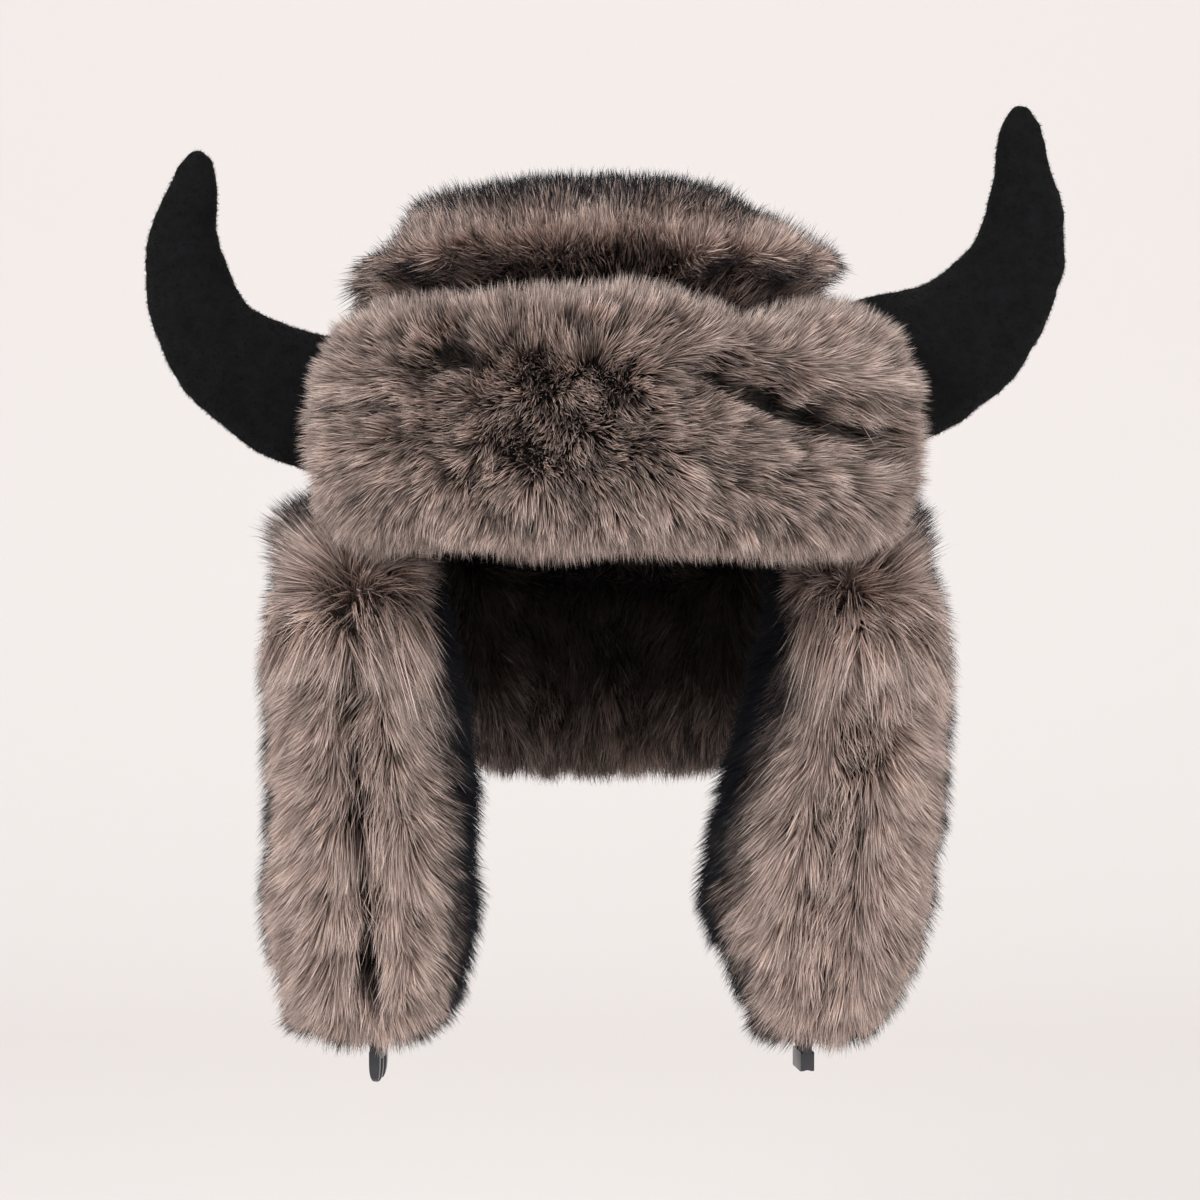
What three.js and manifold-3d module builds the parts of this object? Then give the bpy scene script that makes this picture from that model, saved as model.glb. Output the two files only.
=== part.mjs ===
// A faux fur trapper hat with two stuffed horns. Its front flap is turned up against the crown and sewn
// to it, and its ear flaps and neck flap hang down.
// Units are millimetres and +Z is up. The hat faces -Y, and left and right are as seen from its front.
// The origin is the inside top of the lining, where the hat sits on a head.
import * as THREE from 'three';
import { mergeVertices } from 'three/addons/utils/BufferGeometryUtils.js';
import Module from 'manifold-3d';

const wasm = await Module();
wasm.setup();

// Head hollow and walls
const headHalfWidth = 84;
const headHalfLength = 101;
const hollowDepth = 118;
const domeShare = 0.51;
const hollowRoundness = 2.5;
const liningThickness = 2.5;
const backingThickness = 2.5;
const liningGap = 0.3;
const seatGap = 0.6;

// Fur of the crown
const crownPile = 27;
const pressedPile = 8;
const crownTopPile = 20.5;
const crownRoundness = 3.0;
const seamShare = 0.76;
const seamWidthShare = 0.06;
const seamDepthShare = 0.2;
const pressMargin = 13;
const pressFade = 9;
const pressRise = 5.5;
const endRounding = 0.15;

// Front flap, turned up against the crown
const frontFlapHeight = 110;
const frontFlapDrop = 16;
const frontFlapThickness = 43;
const frontFlapHalfAngle = 71;
const frontFlapFullness = 0.62;
const creaseDepth = 17;
const creaseWidth = 8;
const dimpleDepth = 13;
const dimpleRadius = 11;
const dishDepth = 7;
const frontFlapFaceShare = 0.75;
const frontFlapBackShare = 0.9;
const endCrowding = 0.06;

// Ear flaps, hanging from the crown's lower edge
const earFlapDrop = 226.5;
const earFlapThickness = 100;
const earFlapDepth = 136;
const earFlapReach = 100;
const partingDepth = 9;
const partingWidth = 12;
const partingFade = 0.12;

// Neck flap, hanging behind
const neckFlapDrop = 122;
const neckFlapThickness = 50;
const neckFlapHalfAngle = 52;
const neckFlapOffset = 12;
const neckFlapFullness = 0.6;
const neckCornerShare = 0.35;
const neckCornerRoundness = 5;

// Locks of the fur
const lockDepth = 5;
const lockFall = 5;
const lockRows = 3;
const lockWander = 0.12;
const lockWanderTurn = 2.4;

// Horns, stuffed fleece
const hornFlattening = 0.92;
const hornSetBack = 5;
const hornTipShare = 0.6;
const leftHornReach = 84;
const leftHornRise = 111;
const leftHornGirth = 60;
const leftHornHeight = -72;
const rightHornReach = 87;
const rightHornRise = 120;
const rightHornGirth = 68;
const rightHornHeight = -62;

// Straps and buckle halves
const strapWidth = 12;
const strapThickness = 0.8;
const strapLength = 18.5;
const strapRecess = 13;
const recessMargin = 3.5;
const barThickness = 4;
const barHeight = 2.6;
const fitGap = 0.3;
const buckleMargin = 3;
const frameWall = 1.5;
const frameCorner = 1.2;
const socketThickness = 6;
const socketLength = 8.5;
const socketWall = 1;
const scallopShare = 0.8;
const plugThickness = 4.6;
const plugBaseLength = 3.5;
const prongLength = 11;
const prongWidth = 3.4;
const prongBulge = 0.4;
const prongNose = 1;
const guideWidth = 3;
const buckleTurn = 8;

const rimHeight = -hollowDepth;
const shoulderHeight = -hollowDepth * domeShare;
const degrees = Math.PI / 180;

// The front flap's outline along its arc: its edges as shares of its height, and its thickness
const frontFlapTable = [
  { along: -0.97, top: 0.55, bottom: 0.36, thick: 0.4 },
  { along: -0.93, top: 0.74, bottom: 0.16, thick: 0.78 },
  { along: -0.87, top: 0.88, bottom: 0.03, thick: 0.95 },
  { along: -0.78, top: 0.94, bottom: 0.0, thick: 1.0 },
  { along: -0.66, top: 0.97, bottom: 0.02, thick: 1.0 },
  { along: -0.42, top: 0.99, bottom: 0.03, thick: 0.96 },
  { along: -0.21, top: 1.0, bottom: 0.0, thick: 0.96 },
  { along: 0.0, top: 1.01, bottom: 0.02, thick: 0.98 },
  { along: 0.1, top: 1.03, bottom: 0.02, thick: 1.0 },
  { along: 0.24, top: 0.98, bottom: 0.01, thick: 1.0 },
  { along: 0.38, top: 0.93, bottom: 0.0, thick: 0.97 },
  { along: 0.46, top: 0.91, bottom: -0.01, thick: 0.95 },
  { along: 0.55, top: 0.95, bottom: -0.01, thick: 1.02 },
  { along: 0.7, top: 0.97, bottom: -0.01, thick: 1.12 },
  { along: 0.86, top: 0.96, bottom: -0.01, thick: 1.2 },
  { along: 0.94, top: 0.9, bottom: 0.0, thick: 1.16 },
  { along: 1.0, top: 0.78, bottom: 0.06, thick: 1.0 },
  { along: 1.05, top: 0.6, bottom: 0.26, thick: 0.55 },
];

// The long crease of the front flap and its small dimple: places along the arc and up the height
const creaseTable = [
  { along: 0.2, up: 0.68 },
  { along: 0.36, up: 0.6 },
  { along: 0.52, up: 0.52 },
  { along: 0.68, up: 0.47 },
  { along: 0.8, up: 0.44 },
];
const dimplePlace = { along: -0.37, up: 0.76 };
const creaseFade = 0.1;

// The shallow dish of the front flap's face: its middle and how far it spreads
const dishPlace = { along: 0.1, up: 0.42 };
const dishSpread = { along: 0.75, up: 0.26 };

// The ear flaps from top to bottom: middle and half sizes as shares of thickness and depth
const leftEarTable = [
  { down: 0.0, out: -0.06, half: 0.2, back: 0.2, long: 0.26 },
  { down: 0.035, out: 0.03, half: 0.31, back: 0.17, long: 0.38 },
  { down: 0.1, out: 0.06, half: 0.36, back: 0.02, long: 0.5 },
  { down: 0.18, out: 0.05, half: 0.38, back: -0.01, long: 0.51 },
  { down: 0.33, out: 0.02, half: 0.43, back: -0.01, long: 0.5 },
  { down: 0.52, out: -0.015, half: 0.455, back: -0.01, long: 0.48 },
  { down: 0.63, out: -0.01, half: 0.45, back: -0.01, long: 0.46 },
  { down: 0.745, out: 0.0, half: 0.475, back: -0.01, long: 0.43 },
  { down: 0.86, out: -0.01, half: 0.42, back: -0.01, long: 0.38 },
  { down: 0.93, out: 0.0, half: 0.385, back: -0.01, long: 0.32 },
  { down: 0.97, out: 0.03, half: 0.315, back: -0.01, long: 0.25 },
  { down: 0.99, out: 0.01, half: 0.23, back: 0.0, long: 0.18 },
  { down: 1.0, out: -0.03, half: 0.14, back: 0.0, long: 0.12 },
];
const rightEarTable = [
  { down: 0.0, out: -0.02, half: 0.2, back: 0.2, long: 0.26 },
  { down: 0.035, out: 0.05, half: 0.31, back: 0.17, long: 0.38 },
  { down: 0.1, out: 0.1, half: 0.35, back: 0.02, long: 0.5 },
  { down: 0.18, out: 0.115, half: 0.38, back: -0.01, long: 0.51 },
  { down: 0.3, out: 0.09, half: 0.42, back: -0.01, long: 0.5 },
  { down: 0.41, out: 0.06, half: 0.455, back: -0.01, long: 0.49 },
  { down: 0.52, out: 0.015, half: 0.49, back: -0.01, long: 0.48 },
  { down: 0.64, out: -0.03, half: 0.5, back: -0.01, long: 0.46 },
  { down: 0.74, out: -0.06, half: 0.51, back: -0.01, long: 0.43 },
  { down: 0.83, out: -0.035, half: 0.43, back: -0.01, long: 0.39 },
  { down: 0.91, out: -0.04, half: 0.36, back: -0.01, long: 0.33 },
  { down: 0.97, out: -0.05, half: 0.28, back: -0.01, long: 0.24 },
  { down: 0.99, out: -0.07, half: 0.21, back: 0.0, long: 0.18 },
  { down: 1.0, out: -0.11, half: 0.13, back: 0.0, long: 0.12 },
];

// The horns from root to tip: middle line as shares of reach and rise, width as a share of the girth
const leftHornTable = [
  { out: 0.0, up: 0.0, width: 1.03 },
  { out: 0.17, up: 0.01, width: 1.02 },
  { out: 0.37, up: 0.04, width: 0.99 },
  { out: 0.645, up: 0.14, width: 0.88 },
  { out: 0.835, up: 0.265, width: 0.76 },
  { out: 0.95, up: 0.43, width: 0.66 },
  { out: 0.985, up: 0.58, width: 0.57 },
  { out: 0.98, up: 0.7, width: 0.49 },
  { out: 0.95, up: 0.82, width: 0.39 },
  { out: 0.91, up: 0.95, width: 0.28 },
  { out: 0.9, up: 1.0, width: 0.17 },
];
const rightHornTable = [
  { out: 0.0, up: 0.0, width: 1.0 },
  { out: 0.17, up: 0.02, width: 1.01 },
  { out: 0.375, up: 0.067, width: 0.985 },
  { out: 0.625, up: 0.148, width: 0.91 },
  { out: 0.8, up: 0.268, width: 0.765 },
  { out: 0.945, up: 0.43, width: 0.64 },
  { out: 0.985, up: 0.56, width: 0.545 },
  { out: 0.99, up: 0.67, width: 0.465 },
  { out: 0.98, up: 0.78, width: 0.37 },
  { out: 0.965, up: 0.94, width: 0.27 },
  { out: 0.955, up: 1.0, width: 0.16 },
];

// Meshing
const crownColumns = 48;
const liningColumns = 24;
const crownDomeSteps = 12;
const crownWallSteps = 5;
const liningDomeSteps = 7;
const liningWallSteps = 2;
const flapLoop = 24;
const flapSections = 30;
const neckSections = 22;
const earLevels = 24;
const earColumns = 26;
const hornLevels = 20;
const hornColumns = 18;

// A value of a table's column at a place along it, with straight steps between rows
function readTable(table, key, place, column) {
  const last = table.length - 1;
  for (let row = 0; row < last; row += 1) {
    const from = table[row];
    const to = table[row + 1];
    if (place <= to[key] || row === last - 1) {
      const share = THREE.MathUtils.clamp((place - from[key]) / (to[key] - from[key]), 0, 1);
      return THREE.MathUtils.lerp(from[column], to[column], share);
    }
  }
  return table[last][column];
}

// A bump that is 1 at zero and fades away over the width
function bump(distance, width) {
  return Math.exp(-((distance / width) ** 2));
}

// A closed body through rings of points, closed by a single point at each end
function closedBody(rings, firstPoint, lastPoint) {
  const columns = rings[0].length;
  const points = [firstPoint, ...rings.flat(), lastPoint];
  const faces = [];
  const at = (row, column) => 1 + row * columns + (column % columns);
  const end = points.length - 1;
  for (let column = 0; column < columns; column += 1) {
    faces.push([0, at(0, column + 1), at(0, column)]);
    for (let row = 0; row < rings.length - 1; row += 1) {
      faces.push([at(row, column), at(row, column + 1), at(row + 1, column)]);
      faces.push([at(row, column + 1), at(row + 1, column + 1), at(row + 1, column)]);
    }
    faces.push([end, at(rings.length - 1, column), at(rings.length - 1, column + 1)]);
  }
  return outwardGeometry(points, faces);
}

// Turns the faces the right way round, so that they point out of the body
function outwardGeometry(points, faces) {
  let volume = 0;
  for (const [a, b, c] of faces) {
    volume += points[a].dot(new THREE.Vector3().crossVectors(points[b], points[c]));
  }
  const order = volume > 0 ? faces : faces.map(([a, b, c]) => [a, c, b]);
  const geometry = new THREE.BufferGeometry();
  geometry.setAttribute('position', new THREE.Float32BufferAttribute(points.flatMap((p) => p.toArray()), 3));
  geometry.setIndex(order.flat());
  geometry.computeVertexNormals();
  return geometry;
}

function middleOf(ring) {
  const sum = new THREE.Vector3();
  ring.forEach((point) => sum.add(point));
  return sum.divideScalar(ring.length);
}

// Raises the rings into shingled locks: lift gives a lock's rise from root to tip at each point,
// and fall its run along the rings (fallRing) or round them (fallLoop)
function withLocks(rings, lock) {
  return rings.map((ring, row) => {
    const centre = middleOf(ring);
    return ring.map((point, column) => {
      const { lift, fallRing, fallLoop } = lock(row, column);
      if (lift === 0) {
        return point.clone();
      }
      const before = rings[Math.max(row - 1, 0)][column];
      const after = rings[Math.min(row + 1, rings.length - 1)][column];
      const left = ring[(column + ring.length - 1) % ring.length];
      const right = ring[(column + 1) % ring.length];
      const alongRings = after.clone().sub(before).normalize();
      const roundLoop = right.clone().sub(left).normalize();
      const out = new THREE.Vector3().crossVectors(roundLoop, alongRings).normalize();
      if (out.dot(point.clone().sub(centre)) < 0) {
        out.negate();
      }
      return point.clone()
        .addScaledVector(out, lift * lockDepth)
        .addScaledVector(alongRings, lift * lockFall * fallRing)
        .addScaledVector(roundLoop, lift * lockFall * fallLoop);
    });
  });
}

// How far a lock has risen at a step of its run, each second one half a lock behind the first
function lockRise(step, across) {
  const wander = lockWander * Math.sin(across * lockWanderTurn);
  const phase = step / lockRows + (across % 2) * 0.5 + wander + 1;
  return phase % 1;
}

// A dome's level: how far out it stands as a share of its half sizes, and its height.
// The dome is a rounded square in profile, squarer as its roundness grows.
function domeLevel(size, tilt) {
  const out = Math.sin(tilt);
  const up = Math.max(Math.cos(tilt), 0);
  const far = (out ** size.roundness + up ** size.roundness) ** (1 / size.roundness);
  return { spread: out / far, height: size.shoulder + (up / far) * (size.top - size.shoulder) };
}

// The levels of a dome and of the upright wall below it, without its top point
function domeLevels(size, domeSteps, wallSteps) {
  const levels = [];
  for (let step = 1; step <= domeSteps; step += 1) {
    levels.push(domeLevel(size, (Math.PI / 2) * (step / domeSteps)));
  }
  for (let step = 1; step <= wallSteps; step += 1) {
    levels.push({ spread: 1, height: THREE.MathUtils.lerp(size.shoulder, size.rim, step / wallSteps) });
  }
  return levels;
}

function domePoint(size, level, angle) {
  const x = size.halfWidth * level.spread * Math.sin(angle);
  const y = -size.halfLength * level.spread * Math.cos(angle);
  return new THREE.Vector3(x, y, level.height);
}

// The hollow's sizes, grown outwards by a wall
function hollowSize(wall, topWall = wall) {
  return {
    halfWidth: headHalfWidth + wall,
    halfLength: headHalfLength + wall,
    top: topWall,
    shoulder: shoulderHeight,
    rim: rimHeight,
    roundness: hollowRoundness,
  };
}

const liningOut = liningThickness;
const crownIn = liningOut + liningGap;
const crownBack = crownIn + backingThickness;
const crownPressed = crownBack + pressedPile;
const pressedHalfWidth = headHalfWidth + crownPressed;
const pressedHalfLength = headHalfLength + crownPressed;
const frontFlapBottom = rimHeight - frontFlapDrop;

function ringAngles(columns) {
  return Array.from({ length: columns }, (_, column) => (2 * Math.PI * column) / columns);
}

// The lining: a hollow dome of one thickness, open below
function liningGeometry() {
  const angles = ringAngles(liningColumns);
  const outer = hollowSize(liningOut);
  const inner = hollowSize(0);
  const outerRings = domeLevels(outer, liningDomeSteps, liningWallSteps)
    .map((level) => angles.map((angle) => domePoint(outer, level, angle)));
  const innerRings = domeLevels(inner, liningDomeSteps, liningWallSteps)
    .map((level) => angles.map((angle) => domePoint(inner, level, angle)))
    .reverse();
  const rings = [...outerRings, ...innerRings];
  return closedBody(rings, new THREE.Vector3(0, 0, outer.top), new THREE.Vector3(0, 0, inner.top));
}

// How much of the crown's fur is pressed down at a place: under the front flap, and under each horn
function pressedShare(angle, height) {
  const turn = Math.atan2(Math.sin(angle), Math.cos(angle)) / degrees;
  const along = turn / frontFlapHalfAngle;
  const first = frontFlapTable[0].along;
  const last = frontFlapTable[frontFlapTable.length - 1].along;
  const beside = Math.max(first - along, along - last) * frontFlapHalfAngle;
  const inward = THREE.MathUtils.clamp(along, first + endRounding, last - endRounding);
  const flapTop = frontFlapBottom + frontFlapHeight * readTable(frontFlapTable, 'along', inward, 'top');
  const pastEnd = (beside * degrees * pressedHalfLength - pressMargin) / pressFade;
  const pastTop = (height - flapTop - pressRise) / pressFade;
  const byFlap = fade(Math.max(pastEnd, pastTop));
  const hornSide = Math.sin(angle) > 0 ? rightHornHeight : leftHornHeight;
  const hornGirth = Math.sin(angle) > 0 ? rightHornGirth : leftHornGirth;
  const acrossHorn = -pressedHalfLength * Math.cos(angle) - hornSetBack;
  const fromHorn = Math.hypot(acrossHorn, height - hornSide) - hornGirth / 2;
  const byHorn = fade((fromHorn - pressMargin) / pressFade);
  return Math.max(byFlap, byHorn);
}

// 1 where the place is inside, falling to 0 one step outside
function fade(step) {
  return 1 - THREE.MathUtils.smoothstep(step, 0, 1);
}

// The crown: faux fur on its backing, hollow, its fur pressed down where the flap and horns lie
function crownGeometry() {
  const angles = ringAngles(crownColumns);
  const furTip = {
    halfWidth: headHalfWidth + crownBack + crownPile,
    halfLength: headHalfLength + crownBack + crownPile,
    top: crownBack + crownTopPile,
    shoulder: shoulderHeight,
    rim: rimHeight,
    roundness: crownRoundness,
  };
  const inner = hollowSize(crownIn);
  const tipLevels = domeLevels(furTip, crownDomeSteps, crownWallSteps);
  const outerRings = tipLevels.map((level) => angles.map((angle) => {
    const tip = domePoint(furTip, level, angle);
    const seam = bump(Math.abs(tip.x) / furTip.halfWidth - seamShare, seamWidthShare);
    const seamHere = seam * THREE.MathUtils.smoothstep(tip.z, shoulderHeight, 0);
    tip.z -= crownTopPile * seamDepthShare * seamHere;
    tip.x *= 1 - seamHere * seamDepthShare * crownPile / furTip.halfWidth;
    const reach = Math.hypot(tip.x / pressedHalfWidth, tip.y / pressedHalfLength);
    const squeeze = reach > 1 ? 1 - (1 - 1 / reach) * pressedShare(angle, tip.z) : 1;
    return new THREE.Vector3(tip.x * squeeze, tip.y * squeeze, tip.z);
  }));
  const furred = withLocks(outerRings, (row, column) => {
    const free = 1 - pressedShare(angles[column], outerRings[row][column].z);
    const fromRim = row >= outerRings.length - 1 ? 0 : 1;
    const fromTop = Math.min(1, row / 3);
    return { lift: lockRise(row, column) * free * fromRim * fromTop, fallRing: 1, fallLoop: 0 };
  });
  const innerRings = domeLevels(inner, liningDomeSteps, liningWallSteps)
    .map((level) => angles.map((angle) => domePoint(inner, level, angle)))
    .reverse();
  const rings = [...furred, ...innerRings];
  return closedBody(rings, new THREE.Vector3(0, 0, furTip.top), new THREE.Vector3(0, 0, inner.top));
}

// A point beside the crown's wall: out is measured square to the ellipse of the given half sizes
function besideWall(halfWidth, halfLength, angle, out, height) {
  const square = new THREE.Vector2(halfLength * Math.sin(angle), -halfWidth * Math.cos(angle)).normalize();
  const x = halfWidth * Math.sin(angle) + square.x * out;
  const y = -halfLength * Math.cos(angle) + square.y * out;
  return new THREE.Vector3(x, y, height);
}

// The front flap's face is dished, creased and dimpled: how much its thickness shrinks at a place
function frontFlapDents(along, up) {
  const creaseUp = readTable(creaseTable, 'along', along, 'up');
  const start = creaseTable[0].along;
  const end = creaseTable[creaseTable.length - 1].along;
  const inCrease = THREE.MathUtils.smoothstep(along, start - creaseFade / 2, start + creaseFade)
    * (1 - THREE.MathUtils.smoothstep(along, end, end + creaseFade));
  const crease = creaseDepth * inCrease * bump((up - creaseUp) * frontFlapHeight, creaseWidth);
  const arc = frontFlapHalfAngle * degrees * pressedHalfLength;
  const dimpleAway = Math.hypot((along - dimplePlace.along) * arc, (up - dimplePlace.up) * frontFlapHeight);
  const dimple = dimpleDepth * bump(dimpleAway, dimpleRadius);
  const dish = bump(up - dishPlace.up, dishSpread.up) * bump(along - dishPlace.along, dishSpread.along);
  return crease + dimple + dishDepth * dish;
}

// One upright section of the front flap: over its top, down its face, and up its flat back
function frontFlapSection(along) {
  const angle = along * frontFlapHalfAngle * degrees;
  const top = frontFlapBottom + frontFlapHeight * readTable(frontFlapTable, 'along', along, 'top');
  const bottom = frontFlapBottom + frontFlapHeight * readTable(frontFlapTable, 'along', along, 'bottom');
  const thickness = frontFlapThickness * readTable(frontFlapTable, 'along', along, 'thick');
  const middle = (top + bottom) / 2;
  const half = (top - bottom) / 2;
  const facePoints = flapLoop * frontFlapFaceShare;
  return Array.from({ length: flapLoop }, (_, step) => {
    let out = 0;
    let height = 0;
    if (step < facePoints) {
      const turn = (Math.PI * (step + 0.5)) / facePoints;
      height = middle + half * Math.cos(turn);
      const up = (height - frontFlapBottom) / frontFlapHeight;
      out = thickness * Math.sin(turn) ** frontFlapFullness - frontFlapDents(along, up) * Math.sin(turn);
    } else {
      const rise = (step - facePoints + 0.5) / (flapLoop - facePoints);
      height = middle - half * Math.cos(Math.PI * rise) * frontFlapBackShare;
    }
    return besideWall(pressedHalfWidth + seatGap, pressedHalfLength + seatGap, angle, out, height);
  });
}

function frontFlapGeometry() {
  const first = frontFlapTable[0].along;
  const last = frontFlapTable[frontFlapTable.length - 1].along;
  const sections = Array.from({ length: flapSections }, (_, section) => {
    const share = section / (flapSections - 1);
    const spread = share - endCrowding * Math.sin(2 * Math.PI * share);
    return frontFlapSection(THREE.MathUtils.lerp(first, last, spread));
  });
  const facePoints = flapLoop * frontFlapFaceShare;
  const rings = withLocks(sections, (row, column) => {
    if (column >= facePoints || row === 0 || row === sections.length - 1) {
      return { lift: 0, fallRing: 0, fallLoop: 0 };
    }
    const fromMiddle = column + 0.5 - facePoints / 2;
    const atEdge = Math.min(1, Math.sin((Math.PI * (column + 0.5)) / facePoints) * 2);
    const lift = lockRise(Math.abs(fromMiddle), row) * atEdge;
    return { lift, fallRing: 0, fallLoop: Math.sign(fromMiddle) };
  });
  return closedBody(rings, middleOf(rings[0]), middleOf(rings[rings.length - 1]));
}

// One upright section of the neck flap: over its top, down its outside, and up its inside
function neckFlapSection(along) {
  const angle = Math.PI + along * neckFlapHalfAngle * degrees;
  const corner = Math.sqrt(Math.max(0, 1 - Math.abs(along) ** neckCornerRoundness));
  const full = THREE.MathUtils.lerp(neckCornerShare, 1, corner);
  const top = rimHeight - seatGap;
  const bottom = top - neckFlapDrop * full;
  const half = (neckFlapThickness / 2) * full;
  const middle = (top + bottom) / 2;
  return Array.from({ length: flapLoop }, (_, step) => {
    const turn = (2 * Math.PI * (step + 0.5)) / flapLoop;
    const side = Math.sign(Math.sin(turn)) * Math.abs(Math.sin(turn)) ** neckFlapFullness;
    const rise = Math.sign(Math.cos(turn)) * Math.abs(Math.cos(turn)) ** neckFlapFullness;
    const height = middle + ((top - bottom) / 2) * rise;
    const halfWidth = headHalfWidth + neckFlapOffset;
    const halfLength = headHalfLength + neckFlapOffset;
    return besideWall(halfWidth, halfLength, angle, side * half, height);
  });
}

function neckFlapGeometry() {
  const sections = Array.from({ length: neckSections }, (_, section) => {
    const share = section / (neckSections - 1);
    return neckFlapSection(THREE.MathUtils.lerp(-1, 1, share));
  });
  const rings = withLocks(sections, (row, column) => {
    const outside = column < flapLoop / 2;
    const fromTop = outside ? column : flapLoop - 1 - column;
    const ends = row === 0 || row === sections.length - 1 ? 0 : 1;
    const below = THREE.MathUtils.clamp((fromTop - 2) / 2, 0, 1);
    return { lift: lockRise(fromTop, row) * below * ends, fallRing: 0, fallLoop: outside ? 1 : -1 };
  });
  return closedBody(rings, middleOf(rings[0]), middleOf(rings[rings.length - 1]));
}

// An ear flap: level sections down its length, closer together near its ends, with a parting down
// its front edge and a recess in its lower end where the strap is sewn in
function earFlapGeometry(side, table) {
  const angles = ringAngles(earColumns);
  const top = rimHeight - seatGap;
  const levels = Array.from({ length: earLevels }, (_, level) => {
    const share = level / (earLevels - 1);
    return 0.5 - 0.5 * Math.cos(Math.PI * share) * (0.75 + 0.25 * Math.cos(2 * Math.PI * share));
  });
  const sections = levels.map((down) => {
    const middleX = side * (earFlapReach + earFlapThickness * readTable(table, 'down', down, 'out'));
    const halfX = earFlapThickness * readTable(table, 'down', down, 'half');
    const middleY = earFlapDepth * readTable(table, 'down', down, 'back');
    const halfY = earFlapDepth * readTable(table, 'down', down, 'long');
    return angles.map((angle) => {
      const fromFront = Math.sin(angle) * halfX;
      const parted = Math.cos(angle) > 0 ? bump(fromFront, partingWidth) * partingDepth : 0;
      const opening = THREE.MathUtils.smoothstep(down, partingFade, 2.5 * partingFade)
        * THREE.MathUtils.smoothstep(1 - down, partingFade / 4, partingFade);
      const x = middleX + halfX * Math.sin(angle);
      const y = middleY - halfY * Math.cos(angle) + parted * opening;
      return new THREE.Vector3(x, y, top - earFlapDrop * down);
    });
  });
  const furred = withLocks(sections, (row, column) => {
    const fromTop = THREE.MathUtils.clamp((row - 2) / 3, 0, 1);
    const fromEnd = THREE.MathUtils.clamp((sections.length - 1 - row) / 3, 0, 1);
    return { lift: lockRise(row, column) * fromTop * fromEnd, fallRing: 1, fallLoop: 0 };
  });
  const place = strapPlace(side, table);
  const recess = [0, strapRecess].map((depth) => angles.map((angle) => {
    const x = place.x + (strapOuter / 2 + recessMargin) * Math.sin(angle);
    const y = place.y - (strapWidth / 2 + recessMargin) * Math.cos(angle);
    return new THREE.Vector3(x, y, place.bottom + depth);
  }));
  const start = new THREE.Vector3(middleOf(furred[0]).x, middleOf(furred[0]).y, top);
  const end = new THREE.Vector3(place.x, place.y, place.bottom + strapRecess);
  return closedBody([...furred, ...recess], start, end);
}

// Where a strap leaves an ear flap: the middle of its lower end
const strapInner = barThickness + 2 * fitGap;
const strapOuter = strapInner + 2 * strapThickness;
function strapPlace(side, table) {
  const end = table[table.length - 1];
  return {
    x: side * (earFlapReach + earFlapThickness * end.out),
    y: earFlapDepth * end.back,
    bottom: rimHeight - seatGap - earFlapDrop,
  };
}

// A horn: round sections square to its curved middle line, its root shaped to the crown's side
function hornGeometry(side, table, reach, rise, girth, height) {
  const rootX = pressedHalfWidth + seatGap;
  const line = new THREE.CatmullRomCurve3(table.map((row) => new THREE.Vector3(
    side * (rootX + row.out * reach),
    hornSetBack,
    height + row.up * rise,
  )));
  const angles = ringAngles(hornColumns);
  const across = new THREE.Vector3(0, 1, 0);
  const widths = table.map((row, index) => ({ place: index / (table.length - 1), width: row.width }));
  const sections = Array.from({ length: hornLevels }, (_, level) => {
    const share = level / (hornLevels - 1);
    const middle = line.getPoint(share);
    const ahead = line.getTangent(share);
    const up = new THREE.Vector3().crossVectors(ahead, across).normalize();
    const radius = (girth / 2) * readTable(widths, 'place', share, 'width');
    return angles.map((angle) => middle.clone()
      .addScaledVector(up, radius * Math.cos(angle))
      .addScaledVector(across, radius * hornFlattening * Math.sin(angle)));
  });
  const onCrown = (point) => {
    const bend = Math.sqrt(1 - (point.y / (pressedHalfLength + seatGap)) ** 2);
    return new THREE.Vector3(side * rootX * bend, point.y, point.z);
  };
  const rootMiddle = line.getPoint(0);
  const root = sections[0].map(onCrown);
  const halfRoot = sections[0].map((point) => onCrown(point.clone().lerp(rootMiddle, 0.5)));
  const tipRadius = (girth / 2) * table[table.length - 1].width;
  const tip = line.getPoint(1).addScaledVector(line.getTangent(1), tipRadius * hornTipShare);
  return closedBody([halfRoot, root, ...sections.slice(1)], onCrown(rootMiddle), tip);
}

// A strap: webbing that comes out of the flap, loops round the buckle's bar and goes back
function strapGeometry() {
  const shape = new THREE.Shape();
  const outer = strapOuter / 2;
  const inner = strapInner / 2;
  const turn = -strapLength + outer;
  shape.moveTo(-outer, 0);
  shape.lineTo(-outer, turn);
  shape.absarc(0, turn, outer, Math.PI, 2 * Math.PI, false);
  shape.lineTo(outer, 0);
  shape.lineTo(inner, 0);
  shape.lineTo(inner, turn);
  shape.absarc(0, turn, inner, 2 * Math.PI, Math.PI, true);
  shape.lineTo(-inner, 0);
  const extrusion = { depth: strapWidth, bevelEnabled: false, curveSegments: 8 };
  const geometry = new THREE.ExtrudeGeometry(shape, extrusion);
  geometry.rotateX(Math.PI / 2);
  geometry.translate(0, strapWidth / 2, 0);
  return geometry;
}

// An outline of width (y) and height (z), extruded through its thickness (x)
function plate(shape, thickness) {
  const extrusion = { depth: thickness, bevelEnabled: false, curveSegments: 6 };
  const geometry = new THREE.ExtrudeGeometry(shape, extrusion);
  geometry.rotateX(Math.PI / 2);
  geometry.rotateZ(Math.PI / 2);
  geometry.translate(-thickness / 2, 0, 0);
  return geometry;
}

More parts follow.
